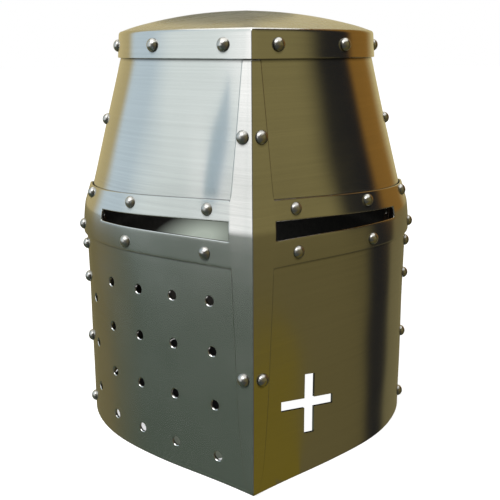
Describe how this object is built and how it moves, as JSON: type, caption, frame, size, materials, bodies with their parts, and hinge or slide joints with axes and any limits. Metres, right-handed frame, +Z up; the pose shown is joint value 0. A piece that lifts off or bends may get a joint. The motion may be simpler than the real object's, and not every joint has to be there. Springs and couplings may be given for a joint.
{
  "type": "knight helmet",
  "caption": "Riveted great helm of lapped, ridged steel plates with a cross-shaped sight plate, eye slots, breath holes, a cross cut-out, a leather liner and a swinging chin strap.",
  "frame": {"origin": "on the floor under the middle of the helm's box, in the plane of the rim", "axes": "+Z up, -Y towards the ridge of the face, +X towards the wearer's left"},
  "size_m": [0.2356, 0.2858, 0.2812],
  "materials": {
    "steel_plate": "brushed steel plate, satin, fine lines, brighter along worn edges",
    "rivet_steel": "pewter-grey domed steel rivets, satin",
    "liner_leather": "vegetable-tanned leather, matt, fine grain",
    "strap_leather": "dark strap leather, waxed, burnished edges",
    "buckle_steel": "bent steel wire and flat steel, satin"
  },
  "bodies": {
    "root": {"crown_plate": "steel_plate", "skull_front_plate": "steel_plate", "skull_back_plate": "steel_plate", "face_plate": "steel_plate", "nape_plate": "steel_plate", "sight_plate": "steel_plate", "crown_rivet_right_1": "rivet_steel", "crown_rivet_right_2": "rivet_steel", "crown_rivet_right_3": "rivet_steel", "crown_rivet_right_4": "rivet_steel", "crown_rivet_left_1": "rivet_steel", "crown_rivet_left_2": "rivet_steel", "crown_rivet_left_3": "rivet_steel", "crown_rivet_left_4": "rivet_steel", "crown_rivet_back": "rivet_steel", "skull_rivet_right": "rivet_steel", "strip_rivet_upper_right": "rivet_steel", "strip_rivet_lower_right": "rivet_steel", "upper_arm_rivet_right_1": "rivet_steel", "upper_arm_rivet_right_2": "rivet_steel", "upper_arm_rivet_right_3": "rivet_steel", "lower_arm_rivet_right_1": "rivet_steel", "lower_arm_rivet_right_2": "rivet_steel", "seam_rivet_right_1": "rivet_steel", "seam_rivet_right_2": "rivet_steel", "seam_rivet_right_3": "rivet_steel", "seam_rivet_right_4": "rivet_steel", "seam_rivet_right_5": "rivet_steel", "strap_rivet_right": "rivet_steel", "back_rivet_right_1": "rivet_steel", "back_rivet_right_2": "rivet_steel", "skull_rivet_left": "rivet_steel", "strip_rivet_upper_left": "rivet_steel", "strip_rivet_lower_left": "rivet_steel", "upper_arm_rivet_left_1": "rivet_steel", "upper_arm_rivet_left_2": "rivet_steel", "upper_arm_rivet_left_3": "rivet_steel", "lower_arm_rivet_left_1": "rivet_steel", "lower_arm_rivet_left_2": "rivet_steel", "seam_rivet_left_1": "rivet_steel", "seam_rivet_left_2": "rivet_steel", "seam_rivet_left_3": "rivet_steel", "seam_rivet_left_4": "rivet_steel", "seam_rivet_left_5": "rivet_steel", "strap_rivet_left": "rivet_steel", "back_rivet_left_1": "rivet_steel", "back_rivet_left_2": "rivet_steel", "head_band": "liner_leather", "liner_tongue_right_1": "liner_leather", "liner_tongue_right_2": "liner_leather", "liner_tongue_right_3": "liner_leather", "liner_tongue_left_1": "liner_leather", "liner_tongue_left_2": "liner_leather", "liner_tongue_left_3": "liner_leather", "liner_apex_disc": "liner_leather"},
    "chin_strap": {"chin_strap_long": "strap_leather", "chin_strap_short": "strap_leather", "chin_buckle": "buckle_steel"},
    "buckle_prong": {"buckle_prong": "buckle_steel"},
    "strap_keeper": {"strap_keeper": "strap_leather"}
  },
  "joints": [
    {"name": "chin_strap_swing", "type": "hinge", "parent": "root", "child": "chin_strap", "pos_m": [0, 0.00956, 0.1415], "axis": [1, 0, 0], "range_deg": [-60, 60]},
    {"name": "buckle_prong_lift", "type": "hinge", "parent": "chin_strap", "child": "buckle_prong", "pos_m": [-0.0395, 0.00956, 0.05269], "axis": [0, -1, 0], "range_deg": [0, 6]},
    {"name": "strap_keeper_slide", "type": "hinge", "parent": "chin_strap", "child": "strap_keeper", "pos_m": [-0.0048, 0.00956, 0.1505], "axis": [0, 1, 0], "range_deg": [-4, 4]}
  ]
}
